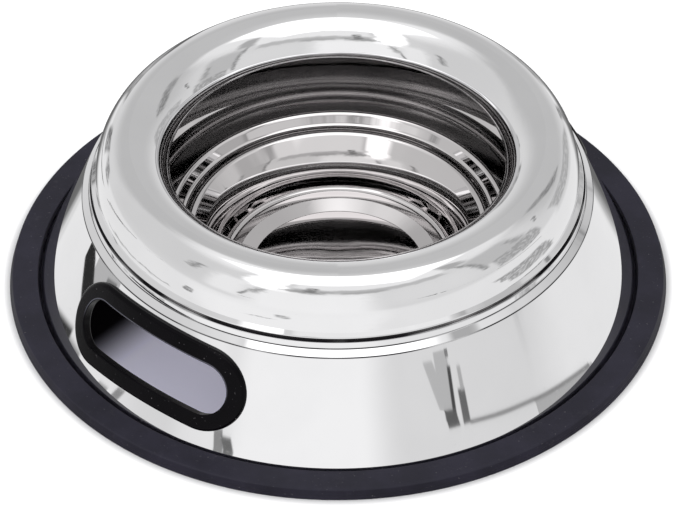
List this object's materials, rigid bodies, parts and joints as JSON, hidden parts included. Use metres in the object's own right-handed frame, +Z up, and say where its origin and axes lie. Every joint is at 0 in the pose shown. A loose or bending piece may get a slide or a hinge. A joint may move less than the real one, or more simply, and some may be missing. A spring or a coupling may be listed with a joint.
{
  "type": "pet bowl",
  "caption": "Low, wide stainless steel feeding bowl with a rolled splash rim, a conical skirt with rubber-edged finger slots, and a rubber base ring that keeps it from tipping or sliding.",
  "frame": {"origin": "on the table, under the centre of the bowl", "axes": "+Z up along the bowl's axis, -Y towards the front of the bowl, +X to its right, and the left finger slot at 42 degrees from -Y towards -X"},
  "size_m": [0.29, 0.29, 0.0788],
  "materials": {
    "ring_rubber": "matt moulded rubber with faint mould lines",
    "grommet_rubber": "matt moulded rubber with dust specks",
    "skirt_steel": "mirror-polished stainless steel sheet",
    "bowl_steel": "polished stainless steel sheet, drawn and lightly brushed round its axis",
    "rim_steel": "mirror-polished stainless steel sheet"
  },
  "bodies": {
    "root": {"base_ring": "ring_rubber", "outer_skirt": "skirt_steel", "inner_bowl": "bowl_steel", "splash_rim": "rim_steel", "grip_grommet_left": "grommet_rubber", "grip_grommet_right": "grommet_rubber"}
  },
  "joints": []
}
